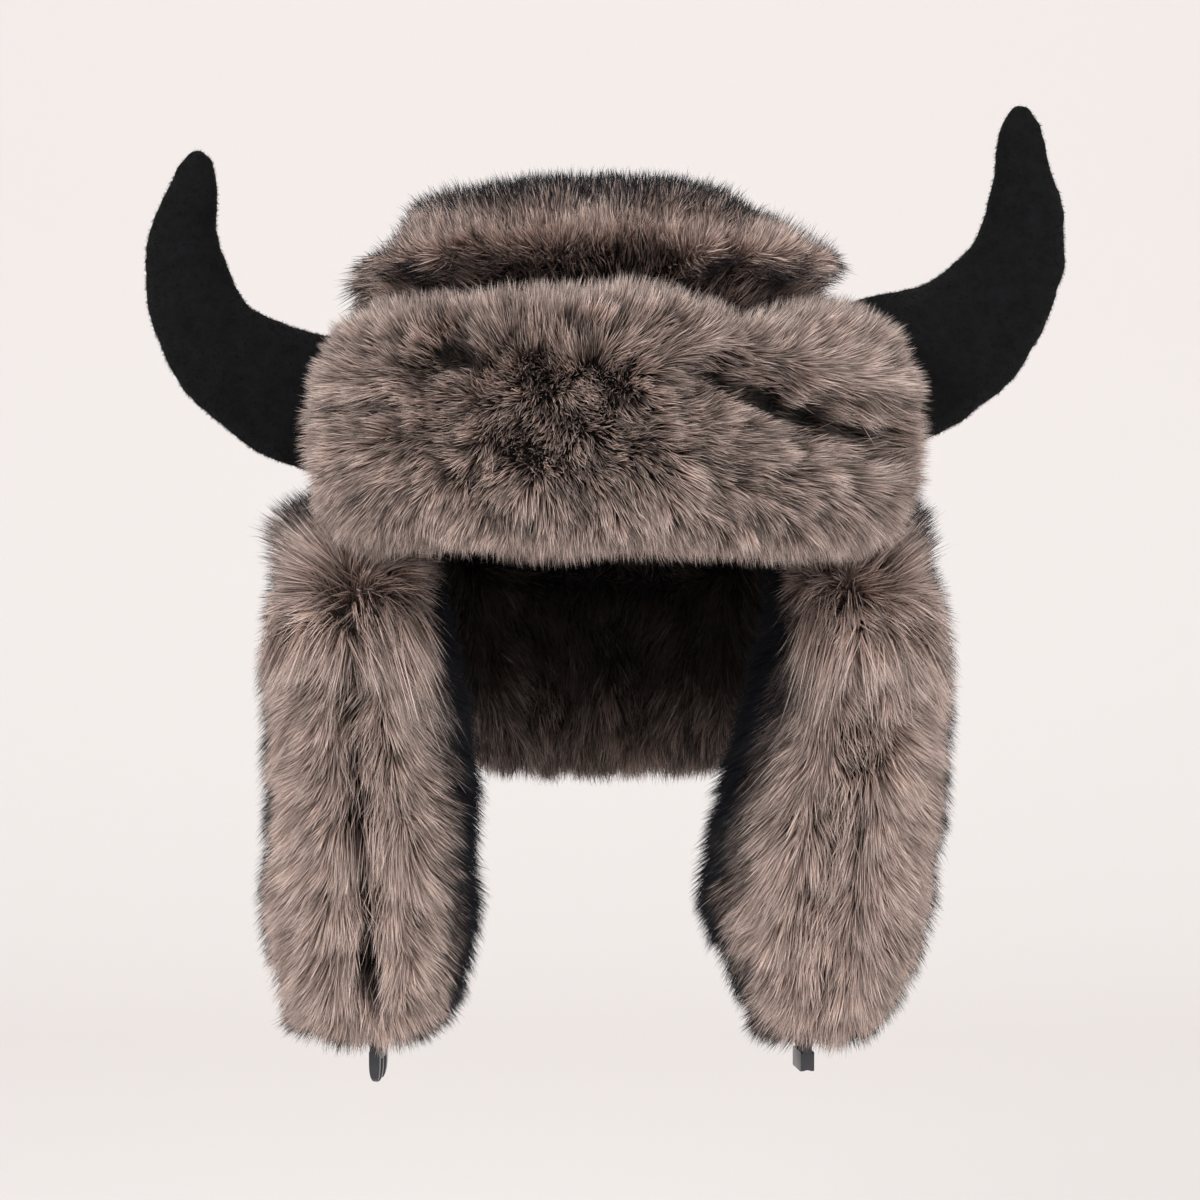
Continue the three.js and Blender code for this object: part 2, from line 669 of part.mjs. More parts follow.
function roundedOutline(halfWidth, low, high, radius) {
  const shape = new THREE.Shape();
  shape.moveTo(-halfWidth + radius, low);
  shape.lineTo(halfWidth - radius, low);
  shape.absarc(halfWidth - radius, low + radius, radius, -Math.PI / 2, 0, false);
  shape.lineTo(halfWidth, high - radius);
  shape.absarc(halfWidth - radius, high - radius, radius, 0, Math.PI / 2, false);
  shape.lineTo(-halfWidth + radius, high);
  shape.absarc(-halfWidth + radius, high - radius, radius, Math.PI / 2, Math.PI, false);
  shape.lineTo(-halfWidth, low + radius);
  shape.absarc(-halfWidth + radius, low + radius, radius, Math.PI, 1.5 * Math.PI, false);
  return shape;
}

function toSolid(geometry) {
  const bare = geometry.clone();
  bare.deleteAttribute('normal');
  bare.deleteAttribute('uv');
  const merged = mergeVertices(bare, 1e-4);
  return new wasm.Manifold(new wasm.Mesh({
    numProp: 3,
    vertProperties: new Float32Array(merged.attributes.position.array),
    triVerts: new Uint32Array(merged.index.array),
  }));
}

function toGeometry(solid) {
  const mesh = solid.getMesh();
  const geometry = new THREE.BufferGeometry();
  geometry.setAttribute('position', new THREE.BufferAttribute(new Float32Array(mesh.vertProperties), 3));
  geometry.setIndex(new THREE.BufferAttribute(new Uint32Array(mesh.triVerts), 1));
  geometry.computeVertexNormals();
  return geometry;
}

// The strap end of a buckle half: a bar across the top of a slot, measured down from the bar's top.
// The bar's lower corners lie in the round of the strap's loop.
const buckleHalfWidth = strapWidth / 2 + buckleMargin;
const slotLow = -barHeight - strapOuter / 2 - fitGap;
function barFrame() {
  const frame = roundedOutline(buckleHalfWidth, slotLow - frameWall, 0, frameCorner);
  const slotHalf = strapWidth / 2 + fitGap;
  const slot = new THREE.Path();
  slot.moveTo(-slotHalf, slotLow);
  slot.lineTo(-slotHalf, -barHeight);
  slot.lineTo(slotHalf, -barHeight);
  slot.lineTo(slotHalf, slotLow);
  slot.closePath();
  frame.holes.push(slot);
  return plate(frame, barThickness);
}

// The socket half: a flat hollow body, open below where the plug goes in
function socketGeometry() {
  const high = slotLow;
  const low = high - socketLength;
  const body = plate(roundedOutline(buckleHalfWidth, low, high, 1), socketThickness);
  const mouth = new THREE.BoxGeometry(
    socketThickness - 2 * socketWall,
    2 * (buckleHalfWidth - 1.5 * socketWall),
    socketLength,
  );
  mouth.translate(0, 0, low - socketWall + socketLength / 2);
  const scallopRadius = socketThickness / 2;
  const scallop = new THREE.CylinderGeometry(scallopRadius, scallopRadius, 4 * buckleHalfWidth, 16);
  scallop.translate(0, 0, low - scallopRadius * scallopShare);
  const framed = toSolid(body).add(toSolid(barFrame()));
  return toGeometry(framed.subtract(toSolid(mouth)).subtract(toSolid(scallop)));
}

// The plug half: a base with a middle guide and two springy prongs that taper to their ends
function plugGeometry() {
  const high = slotLow;
  const base = high - plugBaseLength;
  const tip = base - prongLength;
  const outer = buckleHalfWidth;
  const shape = new THREE.Shape();
  shape.moveTo(-outer, high);
  shape.lineTo(-outer, base);
  const swell = base - prongLength * prongBulge;
  const nose = tip + prongNose;
  shape.bezierCurveTo(-outer - prongBulge, swell, -outer, nose + prongNose, -outer + prongWidth, nose);
  shape.lineTo(-outer + prongWidth, base);
  shape.lineTo(-guideWidth / 2, base);
  shape.lineTo(-guideWidth / 2, tip + guideWidth / 2);
  shape.absarc(0, tip + guideWidth / 2, guideWidth / 2, Math.PI, 2 * Math.PI, false);
  shape.lineTo(guideWidth / 2, base);
  shape.lineTo(outer - prongWidth, base);
  shape.lineTo(outer - prongWidth, nose);
  shape.bezierCurveTo(outer, nose + prongNose, outer + prongBulge, swell, outer, base);
  shape.lineTo(outer, high);
  const body = plate(shape, plugThickness);
  const profile = new THREE.Shape();
  profile.moveTo(-plugThickness / 2, high);
  profile.lineTo(-plugThickness / 2, base - prongNose);
  profile.quadraticCurveTo(-plugThickness / 2, nose, 0, tip);
  profile.quadraticCurveTo(plugThickness / 2, nose, plugThickness / 2, base - prongNose);
  profile.lineTo(plugThickness / 2, high);
  const extrusion = { depth: 4 * outer, bevelEnabled: false, curveSegments: 6 };
  const taper = new THREE.ExtrudeGeometry(profile, extrusion);
  taper.rotateX(Math.PI / 2);
  taper.translate(0, 2 * outer, 0);
  return toGeometry(toSolid(body).intersect(toSolid(taper)).add(toSolid(barFrame())));
}

function fabric(colour, roughness) {
  return new THREE.MeshStandardMaterial({ color: colour, roughness, metalness: 0 });
}

const furLook = () => fabric(0x8a766f, 0.95);
const fleeceLook = () => fabric(0x131314, 0.95);
const liningLook = () => fabric(0x0b0b0c, 0.9);
const webbingLook = () => fabric(0x151515, 0.8);
const plasticLook = () => fabric(0x2e2d31, 0.35);

function addPiece(parent, name, geometry, material) {
  const mesh = new THREE.Mesh(geometry, material);
  mesh.name = name;
  parent.add(mesh);
  return mesh;
}

const hat = new THREE.Group();
addPiece(hat, 'lining', liningGeometry(), liningLook());
addPiece(hat, 'crown', crownGeometry(), furLook());
addPiece(hat, 'front_flap', frontFlapGeometry(), furLook());
addPiece(hat, 'ear_flap_left', earFlapGeometry(-1, leftEarTable), furLook());
addPiece(hat, 'ear_flap_right', earFlapGeometry(1, rightEarTable), furLook());
addPiece(hat, 'neck_flap', neckFlapGeometry(), furLook());
addPiece(
  hat,
  'horn_left',
  hornGeometry(-1, leftHornTable, leftHornReach, leftHornRise, leftHornGirth, leftHornHeight),
  fleeceLook(),
);
addPiece(
  hat,
  'horn_right',
  hornGeometry(1, rightHornTable, rightHornReach, rightHornRise, rightHornGirth, rightHornHeight),
  fleeceLook(),
);

// The strap hangs in the flap's recess, and the buckle half hangs by its bar in the strap's loop
function addFastening(side, table, strapName, buckleName, buckleGeometry) {
  const place = strapPlace(side, table);
  const hanging = new THREE.Group();
  hanging.position.set(place.x, place.y, place.bottom + strapRecess - fitGap);
  hanging.rotation.z = side * buckleTurn * degrees;
  addPiece(hanging, strapName, strapGeometry(), webbingLook());
  const buckle = addPiece(hanging, buckleName, buckleGeometry, plasticLook());
  buckle.position.z = -strapLength + strapOuter / 2 + barHeight;
  hat.add(hanging);
}
addFastening(-1, leftEarTable, 'strap_left', 'buckle_plug', plugGeometry());
addFastening(1, rightEarTable, 'strap_right', 'buckle_socket', socketGeometry());

export default hat;
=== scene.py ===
# A faux fur aviator hat with two stuffed horns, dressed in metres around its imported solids.
import math

import bpy
import numpy as np
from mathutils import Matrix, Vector
from mathutils.bvhtree import BVHTree
from mathutils.kdtree import KDTree


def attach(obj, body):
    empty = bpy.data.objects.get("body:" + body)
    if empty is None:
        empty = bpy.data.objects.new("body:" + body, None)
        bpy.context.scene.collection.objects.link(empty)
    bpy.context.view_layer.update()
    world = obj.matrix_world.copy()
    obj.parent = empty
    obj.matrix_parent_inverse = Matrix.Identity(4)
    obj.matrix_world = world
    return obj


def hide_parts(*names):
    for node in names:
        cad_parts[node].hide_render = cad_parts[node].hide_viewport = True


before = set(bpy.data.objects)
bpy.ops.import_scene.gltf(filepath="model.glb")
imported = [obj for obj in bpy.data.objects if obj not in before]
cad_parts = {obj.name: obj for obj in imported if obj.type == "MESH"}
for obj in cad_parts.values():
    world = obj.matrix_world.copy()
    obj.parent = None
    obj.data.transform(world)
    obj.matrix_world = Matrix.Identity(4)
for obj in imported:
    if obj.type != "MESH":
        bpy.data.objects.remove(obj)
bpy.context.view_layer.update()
MM = 0.001


# Lining
# The cap inside the crown is short black plush over a thin wadding, cut in four gores and sewn to the
# crown's lower edge. Its pile is too short to part, so it reads as a soft matt black.
LINING_BLACK = "0b0a0b"
LINING_SHEEN = "3a3638"
PLUSH_TUFT = 1.6 * MM
PLUSH_TUFTS = 16000
GORE_SEAM_DEPTH = 1.1 * MM
GORE_SEAM_WIDTH = 3 * MM
NAP_THICKNESS = 0.28 * MM
SAME_POINT = 0.01 * MM


def linear(hex_colour):
    """An sRGB hex colour as the linear colour that a shader takes."""
    parts = [int(hex_colour[i : i + 2], 16) / 255 for i in (0, 2, 4)]
    turned = [c / 12.92 if c <= 0.04045 else ((c + 0.055) / 1.055) ** 2.4 for c in parts]
    return (*turned, 1.0)


def new_material(name):
    """A material with nothing but its output in it, and its node tree."""
    material = bpy.data.materials.new(name)
    material.use_nodes = True
    material.node_tree.nodes.clear()
    return material, material.node_tree


def add_node(tree, kind, settings=None, **inputs):
    """Adds a node. Settings are its own fields. Inputs go by name, or by number as i0, i1 and so on,
    and each is a value or another node's output."""
    node = tree.nodes.new(kind)
    for field, value in (settings or {}).items():
        setattr(node, field, value)
    for label, value in inputs.items():
        numbered = label[0] == "i" and label[1:].isdigit()
        socket = node.inputs[int(label[1:]) if numbered else label.replace("_", " ")]
        if isinstance(value, bpy.types.NodeSocket):
            tree.links.new(value, socket)
        else:
            socket.default_value = value
    return node


def ramp_stops(node, stops):
    """Sets a colour ramp's stops from pairs of place and sRGB hex colour."""
    elements = node.color_ramp.elements
    while len(elements) > 1:
        elements.remove(elements[-1])
    elements[0].position, elements[0].color = stops[0][0], linear(stops[0][1])
    for place, colour in stops[1:]:
        elements.new(place).color = linear(colour)


def short_plush(name, colour, glow, tuft):
    """Brushed pile a millimetre or two high: matt, with a faint light edge, a fine nap and broad patches
    of painted sheen in its colour.
    """
    material, tree = new_material(name)
    place = add_node(tree, "ShaderNodeTexCoord").outputs["Object"]
    nap = add_node(tree, "ShaderNodeTexNoise", Vector=place, Scale=1 / tuft, Detail=6.0, Roughness=0.7)
    # Painted sheen: broad noise patches mix the pile's colour towards its sheen colour.
    painted_sheen_patches = add_node(tree, "ShaderNodeTexNoise", Vector=place, Scale=0.12 / tuft, Detail=3.0)
    shade = add_node(
        tree, "ShaderNodeMix", {"data_type": "RGBA"},
        i0=painted_sheen_patches.outputs["Fac"], i6=linear(colour), i7=linear(glow),
    )
    bump = add_node(tree, "ShaderNodeBump", Height=nap.outputs["Fac"], Distance=0.6 * MM, Strength=0.8)
    cloth = add_node(
        tree, "ShaderNodeBsdfPrincipled",
        Base_Color=shade.outputs[2], Normal=bump.outputs["Normal"], Roughness=0.95,
        Sheen_Weight=0.12, Sheen_Roughness=0.45, Sheen_Tint=linear(glow), IOR=1.45,
    )
    cloth.inputs["Specular IOR Level"].default_value = 0.15
    add_node(tree, "ShaderNodeOutputMaterial", Surface=cloth.outputs["BSDF"])
    return material


def reshaped(node, steps):
    """A node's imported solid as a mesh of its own, put through modifiers: pairs of kind and settings."""
    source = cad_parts[node]
    shape = bpy.data.objects.new(f"{node}_shape", source.data.copy())
    shape.matrix_world = source.matrix_world
    bpy.context.scene.collection.objects.link(shape)
    for kind, settings in steps:
        step = shape.modifiers.new(kind.lower(), kind)
        for field, value in settings.items():
            setattr(step, field, value)
    bpy.context.view_layer.update()
    seen = shape.evaluated_get(bpy.context.evaluated_depsgraph_get())
    mesh = bpy.data.meshes.new_from_object(seen)
    mesh.transform(source.matrix_world)
    bpy.data.objects.remove(shape)
    return mesh


def add_piece(name, mesh, material, replaced=(), smooth=True):
    """Puts a mesh in the scene as a piece that rides on the hat, with its finish."""
    piece = bpy.data.objects.new(name, mesh)
    bpy.context.scene.collection.objects.link(piece)
    mesh.materials.clear()
    mesh.materials.append(material)
    if smooth:
        mesh.shade_smooth()
    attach(piece, "root")
    if replaced:
        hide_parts(*replaced)
    return piece


def unit(vectors):
    """Vectors of length one."""
    length = np.linalg.norm(vectors, axis=-1, keepdims=True)
    return vectors / np.maximum(length, 1e-9)


def level(vectors, out):
    """Vectors with their share along out taken away, so that they lie along the surface."""
    return vectors - out * np.sum(vectors * out, axis=1, keepdims=True)


def arrays_of(mesh):
    """A mesh's points, the normals at them and its triangles, as arrays."""
    mesh.calc_loop_triangles()
    corners = np.empty(len(mesh.loop_triangles) * 3, dtype=np.int32)
    mesh.loop_triangles.foreach_get("vertices", corners)
    points = np.empty(len(mesh.vertices) * 3)
    mesh.vertices.foreach_get("co", points)
    normals = np.empty(len(mesh.vertices) * 3)
    mesh.vertices.foreach_get("normal", normals)
    return points.reshape(-1, 3), normals.reshape(-1, 3), corners.reshape(-1, 3)


def scatter(points, corners, wanted, count, draw):
    """Random places on a mesh, even over its area where wanted is 1: their triangles and the shares
    of its three corners."""
    a, b, c = (points[corners[:, i]] for i in range(3))
    area = np.linalg.norm(np.cross(b - a, c - a), axis=1) * wanted[corners].mean(axis=1)
    chosen = corners[draw.choice(len(corners), size=count, p=area / area.sum())]
    return chosen, draw.dirichlet((1, 1, 1), size=count)


def blend(weights, values):
    """The mean of three corners' vectors by their shares."""
    return np.einsum("ij,ijk->ik", weights, values)


def short_nap(name, mesh, wanted, count, height, seed):
    """The ends of a short brushed pile, which catch the light at a rounded edge."""
    points, normals, corners = arrays_of(mesh)
    draw = np.random.default_rng(seed)
    chosen, weights = scatter(points, corners, wanted, count, draw)
    root = blend(weights, points[chosen])
    out = unit(blend(weights, normals[chosen]))
    lean = level(draw.normal(size=(count, 3)) * 0.7 + np.array([0, 0, -0.3]), out)
    tip = root + (out + lean) * (height * draw.uniform(0.5, 1.2, size=count))[:, None]
    side = unit(np.cross(out + lean, draw.normal(size=(count, 3)))) * NAP_THICKNESS / 2
    verts = np.stack([root - side, root + side, tip], axis=1).reshape(-1, 3)
    nap = bpy.data.meshes.new(name)
    nap.from_pydata(verts.tolist(), [], np.arange(3 * count).reshape(-1, 3).tolist())
    return nap


def faces_in(points, normals):
    """1 where the lining's surface faces the head, 0 where it lies against the crown."""
    middle = np.array([0, 0, -90 * MM])
    return (np.sum(unit(points - middle) * normals, axis=1) < -0.2).astype(float)


def gored_cap(node):
    """The lining's shell, finer and rounder, drawn in along the seams between its four gores."""
    mesh = reshaped(node, [
        ("WELD", {"merge_threshold": SAME_POINT}),
        ("SUBSURF", {"levels": 2, "render_levels": 2}),
    ])
    points, normals, _ = arrays_of(mesh)
    inside = faces_in(points, normals)
    away = np.minimum(np.abs(points[:, 0]), np.abs(points[:, 1]))
    drawn = GORE_SEAM_DEPTH * np.exp(-((away / GORE_SEAM_WIDTH) ** 2)) * inside
    mesh.vertices.foreach_set("co", (points - normals * drawn[:, None]).reshape(-1))
    mesh.update()
    return mesh, inside


lining_material = short_plush("black_plush_lining", LINING_BLACK, LINING_SHEEN, PLUSH_TUFT)
cap_mesh, cap_inside = gored_cap("lining")
lining_cap = add_piece("lining_cap", cap_mesh, lining_material, ("lining",))
cap_nap = short_nap("lining_nap", cap_mesh, cap_inside, PLUSH_TUFTS, PLUSH_TUFT, 11)
add_piece("lining_nap", cap_nap, lining_material, ("lining",), smooth=False)


# Crown
# The crown is woven-backed faux fur with a pile of 27 mm: acrylic hairs with dark roots, pinkish taupe
# lengths and blue-black tips. It is sewn from a middle strip and two side panels and stands on the lining.
FUR_PILE = 27 * MM
HAIR_WIDTH = 0.55 * MM
GUARD_SHARE = 0.42
GUARD_LENGTH, WOOL_LENGTH = 1.08, 0.9
GUARD_THICK, WOOL_THICK = 0.85, 1.1
UNEVEN = 0.07
BEND_UP, BEND_OVER = 0.62, 0.34
CLUMP_SIZE = 5 * MM
CLUMP_PULL = 0.3
CLUMP_PULL_LOW = 0.12
LOCK_SIZE = 15 * MM
LOCK_PULL = 0.18
FUR_ROOT = "382b27"
FUR_LOW = "75625a"
FUR_LENGTH = "ad968c"
FUR_LIGHT = "d8c6bd"
FUR_TIP = "15161c"
# Near-black backing: partly the cloth's own dark colour, partly painted shade of the pile's depth.
SHADED_BACKING_DARK = "070505"
SHADED_BACKING_LIGHT = "1a1412"
TIP_BANDS = 4
TIP_STARTS = (1.05, 0.55)
TIP_FADE = 0.2
DARKEST, LIGHTEST = 0.1, 1.6
HAIR_LOW = 0.30
GUARD_PAST = 4.2 * MM
WOOL_PAST = -0.5 * MM
BEND_UNDER = 5 * MM
FOLD_SHADE = 0.8
NEIGHBOUR_REACH = 3.5 * MM
GROUND_DEPTH = 0.86
GROUND_DEPTH_AT_SEAMS = 0.4
GROUND_FACETS = 0.25
FORM_STEP = 3.5 * MM
CROWN_HAIRS = 82000
# Painted light: how much lighter the crown's hairs are made than the flaps'.
CROWN_PAINTED_LIGHT = 0.25


def faux_fur_material(name):
    """Acrylic pile: dark in its depth, soft taupe on its face, and black where tips show. A hair's own
    map holds how light it is across and how far along it a place is upwards. Across, it has four bands
    whose tips are blacker from one to the next."""
    material, tree = new_material(name)
    flat = add_node(tree, "ShaderNodeUVMap", {"uv_map": "OFBake"}).outputs["UV"]
    parts = add_node(tree, "ShaderNodeSeparateXYZ", Vector=flat)
    banded = add_node(
        tree, "ShaderNodeMath", {"operation": "MULTIPLY"}, i0=parts.outputs["X"], i1=float(TIP_BANDS)
    )
    light = add_node(tree, "ShaderNodeMath", {"operation": "FRACT"}, i0=banded.outputs[0])
    band = add_node(tree, "ShaderNodeMath", {"operation": "FLOOR"}, i0=banded.outputs[0])
    along = add_node(tree, "ShaderNodeValToRGB", Fac=parts.outputs["Y"])
    ramp_stops(along, [(0.25, FUR_ROOT), (0.5, FUR_LOW), (0.75, FUR_LENGTH), (1.0, FUR_LIGHT)])
    shade = add_node(
        tree, "ShaderNodeMapRange",
        i0=light.outputs[0], i1=0.0, i2=1.0, i3=DARKEST, i4=LIGHTEST,
    )
    lit = add_node(
        tree, "ShaderNodeMix", {"data_type": "RGBA", "blend_type": "MULTIPLY"},
        i0=1.0, i6=along.outputs["Color"], i7=shade.outputs[0],
    )
    tip_from = add_node(
        tree, "ShaderNodeMapRange",
        i0=band.outputs[0], i1=0.0, i2=float(TIP_BANDS - 1), i3=TIP_STARTS[0], i4=TIP_STARTS[1],
    )
    tip_end = add_node(tree, "ShaderNodeMath", {"operation": "ADD"}, i0=tip_from.outputs[0], i1=TIP_FADE)
    tip = add_node(
        tree, "ShaderNodeMapRange", {"interpolation_type": "SMOOTHSTEP"},
        i0=parts.outputs["Y"], i1=tip_from.outputs[0], i2=tip_end.outputs[0], i3=0.0, i4=1.0,
    )
    colour = add_node(
        tree, "ShaderNodeMix", {"data_type": "RGBA"},
        i0=tip.outputs[0], i6=lit.outputs[2], i7=linear(FUR_TIP),
    )
    hair = add_node(tree, "ShaderNodeBsdfPrincipled", Base_Color=colour.outputs[2], Roughness=0.6, IOR=1.5)
    hair.inputs["Specular IOR Level"].default_value = 0.2
    add_node(tree, "ShaderNodeOutputMaterial", Surface=hair.outputs["BSDF"])
    return material


def woven_backing(name):
    """The fur's dark woven ground. Its near-black is partly its own colour and partly painted shade of the
    deep pile; it shows only as a brown depth between the hairs.
    """
    material, tree = new_material(name)
    place = add_node(tree, "ShaderNodeTexCoord").outputs["Object"]
    thread = add_node(tree, "ShaderNodeTexNoise", Vector=place, Scale=1 / (1.2 * MM), Detail=4.0)
    shade = add_node(tree, "ShaderNodeValToRGB", Fac=thread.outputs["Fac"])
    ramp_stops(shade, [(0.3, SHADED_BACKING_DARK), (0.7, SHADED_BACKING_LIGHT)])
    bump = add_node(tree, "ShaderNodeBump", Height=thread.outputs["Fac"], Distance=0.4 * MM)
    cloth = add_node(
        tree, "ShaderNodeBsdfPrincipled",
        Base_Color=shade.outputs["Color"], Normal=bump.outputs["Normal"], Roughness=0.95,
    )
    add_node(tree, "ShaderNodeOutputMaterial", Surface=cloth.outputs["BSDF"])
    return material


fur_material = faux_fur_material("acrylic_faux_fur")
backing_material = woven_backing("fur_backing_painted_shade")


def ease(values, low, high):
    """A smooth step from 0 at low to 1 at high."""
    share = np.clip((values - low) / (high - low), 0, 1)
    return share * share * (3 - 2 * share)


def ripple(points, scale, seed):
    """A smooth wavy value, mostly between -1 and 1, with waves about scale long."""
    draw = np.random.default_rng(seed)
    value = np.zeros(len(points))
    for _ in range(6):
        way = unit(draw.normal(size=3)) * (2 * math.pi / scale) * draw.uniform(0.7, 1.5)
        value += np.sin(points @ way + draw.uniform(0, 2 * math.pi))
    return value / 2.4


def smooth_form(node, voxel, rounds):
    """A node's solid with even facets, and with its own ones smoothed away."""
    return reshaped(node, [
        ("REMESH", {"mode": "VOXEL", "voxel_size": voxel}),
        ("CORRECTIVE_SMOOTH", {"rest_source": "ORCO", "use_only_smooth": True, "iterations": rounds}),
    ])


def neighbours_of(node):
    """A search tree of all the hat's solids but one."""
    points, faces = [], []
    for name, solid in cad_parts.items():
        if name == node:
            continue
        start = len(points)
        points += [solid.matrix_world @ v.co for v in solid.data.vertices]
        faces += [[start + i for i in p.vertices] for p in solid.data.polygons]
    return BVHTree.FromPolygons(points, faces)


def form_of(node, pile, share):
    """A node's smooth form as arrays, with what neighbours hide and how deep the pile goes: no deeper
    than a share of the form's thickness."""
    mesh = smooth_form(node, FORM_STEP, 6)
    points, normals, corners = arrays_of(mesh)
    own = BVHTree.FromPolygons([v.co for v in mesh.vertices], [tuple(p.vertices) for p in mesh.polygons])
    others = neighbours_of(node)
    deep = np.full(len(points), pile)
    free = np.ones(len(points))
    for i, (point, normal) in enumerate(zip(points, normals)):
        start, way = Vector(point), Vector(normal)
        through = own.ray_cast(start - way * MM, -way, pile / share)[3]
        if through is not None:
            deep[i] = min(pile, share * (through + MM))
        if others.ray_cast(start - way * MM, way, NEIGHBOUR_REACH)[0] is not None:
            free[i] = 0.0
    return {
        "mesh": mesh, "points": points, "normals": normals, "corners": corners,
        "deep": deep, "free": free, "tree": own,
    }


def lay_ground(name, node, form):
    """The cloth ground and wadding under the pile: the form drawn in by the pile's depth, less where
    it is sewn to a neighbour and has no pile."""
    ground = form["mesh"].copy()
    pile_share = GROUND_DEPTH_AT_SEAMS + (GROUND_DEPTH - GROUND_DEPTH_AT_SEAMS) * form["free"]
    drawn = form["deep"] * pile_share
    inner = form["points"] - form["normals"] * drawn[:, None]
    ground.vertices.foreach_set("co", inner.reshape(-1))
    ground.update()
    piece = add_piece(name, ground, backing_material, (node,))
    relax = piece.modifiers.new("even", "SMOOTH")
    relax.iterations = 4
    thin_out = piece.modifiers.new("thin_out", "DECIMATE")
    thin_out.ratio = GROUND_FACETS
    return piece


def folds_at(place, out, folds):
    """How deep folds sink the pile at each place, and which way they push it. Folds run over what
    faces forwards, as lines of places across and up, seen from the front."""
    flat = place[:, [0, 2]]
    facing = ease(-out[:, 1], 0.0, 0.35)
    sunk = np.zeros(len(place))
    push = np.zeros_like(place)
    for fold in folds:
        line = np.array(fold["line"]) * MM
        best = np.full(len(place), 1e9)
        away = np.zeros_like(flat)
        for start, end in zip(line[:-1], line[1:]):
            step = end - start
            share = np.clip(((flat - start) @ step) / (step @ step), 0, 1)
            offset = flat - (start + share[:, None] * step)
            gap = np.linalg.norm(offset, axis=1)
            closer = gap < best
            best[closer], away[closer] = gap[closer], offset[closer]
        fall = np.exp(-((best / (fold["width"] * MM)) ** 2))
        sunk = np.maximum(sunk, fold["depth"] * MM * fall * facing)
        spread = facing * fold["push"] * np.exp(-((best / (fold["spread"] * MM)) ** 2))
        push[:, [0, 2]] += unit(away) * spread[:, None]
    return sunk, level(push, out)


def held_in(ends, form, allowed):
    """Pushes ends that stand out past the form by more than is allowed back to that height."""
    held = ends.copy()
    for i, end in enumerate(ends):
        near, way, _, _ = form["tree"].find_nearest(Vector(end))
        over = (Vector(end) - near).dot(way) - allowed[i]
        if over > 0:
            held[i] -= np.array(way) * over
    return held


def gather(rows, place, size, draw, pull):
    """Moves each row towards that of the nearest of some chosen places, so that hairs form clumps."""
    count = len(place)
    spread = np.ptp(place, axis=0)
    area = 2 * (spread[0] * spread[1] + spread[1] * spread[2] + spread[0] * spread[2]) * 0.6
    centres = draw.choice(count, size=max(12, int(area / size**2)), replace=False)
    tree = KDTree(len(centres))
    for k, i in enumerate(centres):
        tree.insert(Vector(place[i]), k)
    tree.balance()
    mine = centres[np.array([tree.find(Vector(p))[1] for p in place])]
    return [r + (r[mine] - r) * (pull * share)[:, None] for r, share in rows], mine


def strands(name, base, bend, tip, thick, side, across):
    """Joins all hairs in one mesh: each is a long leaf that bends at its widest place."""
    count = len(base)
    verts = np.stack([base, bend - side * thick, bend + side * thick, tip], axis=1)
    mesh = bpy.data.meshes.new(name)
    mesh.vertices.add(4 * count)
    mesh.vertices.foreach_set("co", verts.reshape(-1))
    loops = np.arange(count)[:, None] * 4 + np.array([0, 2, 1, 1, 2, 3])
    mesh.loops.add(6 * count)
    mesh.loops.foreach_set("vertex_index", loops.reshape(-1).astype(np.int32))
    mesh.polygons.add(2 * count)
    mesh.polygons.foreach_set("loop_start", (np.arange(2 * count) * 3).astype(np.int32))
    mesh.update(calc_edges=True)
    sliver = 0.002
    low, left, right, high = (0, HAIR_LOW), (-1, BEND_UP), (1, BEND_UP), (0, 1.0)
    places = [low, right, left, left, right, high]
    flat = [np.stack([across + s * sliver, np.full(count, v)], axis=1) for s, v in places]
    layer = mesh.uv_layers.new(name="OFBake")
    layer.uv.foreach_set("vector", np.stack(flat, axis=1).reshape(-1).astype(np.float32))
    return mesh


